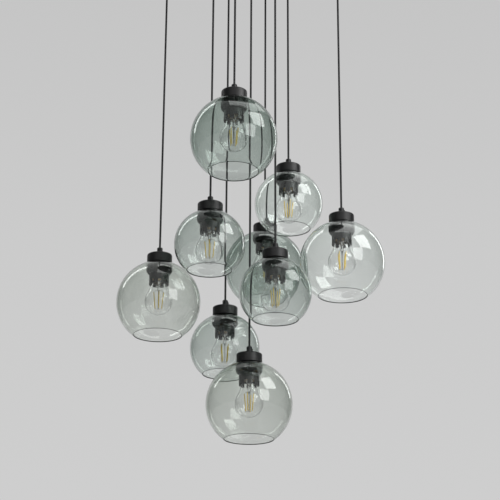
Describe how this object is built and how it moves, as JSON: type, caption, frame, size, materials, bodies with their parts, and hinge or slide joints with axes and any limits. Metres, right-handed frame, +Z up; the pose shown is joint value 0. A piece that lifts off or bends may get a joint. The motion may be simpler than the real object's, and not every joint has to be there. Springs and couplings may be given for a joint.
{
  "type": "cluster pendant",
  "caption": "Round ceiling canopy from which open smoked-glass globe lamps hang on black cords at stepped heights, each with a black cap, lampholder and clear filament bulb.",
  "frame": {"origin": "middle of the strap's upper face, which lies against the ceiling", "axes": "+Z up into the ceiling, +X to the right and +Y away from a viewer who sees the object as pictured"},
  "size_m": [0.57, 0.57, 1.2174],
  "materials": {
    "black_metal": "satin black lacquer",
    "zinc_steel": "zinc plated",
    "brass": "bare",
    "white_plastic": "matt",
    "black_plastic": "satin phenolic plastic",
    "black_textile": "braided textile sleeve",
    "smoked_glass": "clear, smoked grey-green",
    "clear_glass": "clear"
  },
  "bodies": {
    "canopy": {"ceiling_bracket": "zinc_steel", "canopy_cover": "black_metal", "canopy_screws": "black_metal", "terminal_block": "white_plastic", "canopy_cord_grips": "black_metal", "canopy_grip_nuts": "brass"},
    "pendant_1": {"cord_1": "black_textile", "cord_grip_1": "black_metal", "cap_1": "black_metal", "lampholder_1": "black_plastic", "glass_globe_1": "smoked_glass"},
    "bulb_body_1": {"bulb_1": "clear_glass"},
    "pendant_2": {"cord_2": "black_textile", "cord_grip_2": "black_metal", "cap_2": "black_metal", "lampholder_2": "black_plastic", "glass_globe_2": "smoked_glass"},
    "bulb_body_2": {"bulb_2": "clear_glass"},
    "pendant_3": {"cord_3": "black_textile", "cord_grip_3": "black_metal", "cap_3": "black_metal", "lampholder_3": "black_plastic", "glass_globe_3": "smoked_glass"},
    "bulb_body_3": {"bulb_3": "clear_glass"},
    "pendant_4": {"cord_4": "black_textile", "cord_grip_4": "black_metal", "cap_4": "black_metal", "lampholder_4": "black_plastic", "glass_globe_4": "smoked_glass"},
    "bulb_body_4": {"bulb_4": "clear_glass"},
    "pendant_5": {"cord_5": "black_textile", "cord_grip_5": "black_metal", "cap_5": "black_metal", "lampholder_5": "black_plastic", "glass_globe_5": "smoked_glass"},
    "bulb_body_5": {"bulb_5": "clear_glass"},
    "pendant_6": {"cord_6": "black_textile", "cord_grip_6": "black_metal", "cap_6": "black_metal", "lampholder_6": "black_plastic", "glass_globe_6": "smoked_glass"},
    "bulb_body_6": {"bulb_6": "clear_glass"},
    "pendant_7": {"cord_7": "black_textile", "cord_grip_7": "black_metal", "cap_7": "black_metal", "lampholder_7": "black_plastic", "glass_globe_7": "smoked_glass"},
    "bulb_body_7": {"bulb_7": "clear_glass"},
    "pendant_8": {"cord_8": "black_textile", "cord_grip_8": "black_metal", "cap_8": "black_metal", "lampholder_8": "black_plastic", "glass_globe_8": "smoked_glass"},
    "bulb_body_8": {"bulb_8": "clear_glass"},
    "pendant_9": {"cord_9": "black_textile", "cord_grip_9": "black_metal", "cap_9": "black_metal", "lampholder_9": "black_plastic", "glass_globe_9": "smoked_glass"},
    "bulb_body_9": {"bulb_9": "clear_glass"}
  },
  "joints": [
    {"name": "swing_1", "type": "hinge", "parent": "canopy", "child": "pendant_1", "pos_m": [-0.03438, -0.19499, -0.048], "axis": [-0.9848, 0.1736, 0], "range_deg": [-5, 30]},
    {"name": "bulb_slide_1", "type": "slide", "parent": "pendant_1", "child": "bulb_body_1", "axis": [0, 0, -1], "range_m": [0, 0.155]},
    {"name": "swing_2", "type": "hinge", "parent": "canopy", "child": "pendant_2", "pos_m": [0.08481, 0.05299, -0.048], "axis": [0.5299, -0.848, 0], "range_deg": [-1.5, 30]},
    {"name": "bulb_slide_2", "type": "slide", "parent": "pendant_2", "child": "bulb_body_2", "axis": [0, 0, -1], "range_m": [0, 0.124]},
    {"name": "swing_3", "type": "hinge", "parent": "canopy", "child": "pendant_3", "pos_m": [0.19499, -0.03438, -0.048], "axis": [-0.9659, -0.2588, 0], "range_deg": [-7, 30]},
    {"name": "bulb_slide_3", "type": "slide", "parent": "pendant_3", "child": "bulb_body_3", "axis": [0, 0, -1], "range_m": [0, 0.155]},
    {"name": "swing_4", "type": "hinge", "parent": "canopy", "child": "pendant_4", "pos_m": [-0.08481, -0.05299, -0.048], "axis": [-0.866, 0.5, 0], "range_deg": [-0.7, 30]},
    {"name": "bulb_slide_4", "type": "slide", "parent": "pendant_4", "child": "bulb_body_4", "axis": [0, 0, -1], "range_m": [0, 0.124]},
    {"name": "swing_5", "type": "hinge", "parent": "canopy", "child": "pendant_5", "pos_m": [0.03438, 0.19499, -0.048], "axis": [0.9848, -0.1736, 0], "range_deg": [-1.25, 30]},
    {"name": "bulb_slide_5", "type": "slide", "parent": "pendant_5", "child": "bulb_body_5", "axis": [0, 0, -1], "range_m": [0, 0.155]},
    {"name": "swing_6", "type": "hinge", "parent": "canopy", "child": "pendant_6", "pos_m": [0.05299, -0.08481, -0.048], "axis": [-0.9659, -0.2588, 0], "range_deg": [-1, 30]},
    {"name": "bulb_slide_6", "type": "slide", "parent": "pendant_6", "child": "bulb_body_6", "axis": [0, 0, -1], "range_m": [0, 0.124]},
    {"name": "swing_7", "type": "hinge", "parent": "canopy", "child": "pendant_7", "pos_m": [-0.19499, 0.03438, -0.048], "axis": [-0.2588, 0.9659, 0], "range_deg": [-0.4, 30]},
    {"name": "bulb_slide_7", "type": "slide", "parent": "pendant_7", "child": "bulb_body_7", "axis": [0, 0, -1], "range_m": [0, 0.155]},
    {"name": "swing_8", "type": "hinge", "parent": "canopy", "child": "pendant_8", "pos_m": [-0.05299, 0.08481, -0.048], "axis": [0.9659, 0.2588, 0], "range_deg": [-0.4, 30]},
    {"name": "bulb_slide_8", "type": "slide", "parent": "pendant_8", "child": "bulb_body_8", "axis": [0, 0, -1], "range_m": [0, 0.056]},
    {"name": "swing_9", "type": "hinge", "parent": "canopy", "child": "pendant_9", "pos_m": [0, 0, -0.048], "axis": [0.5299, -0.848, 0], "range_deg": [-0.7, 1.4]},
    {"name": "bulb_slide_9", "type": "slide", "parent": "pendant_9", "child": "bulb_body_9", "axis": [0, 0, -1], "range_m": [0, 0.155]}
  ]
}
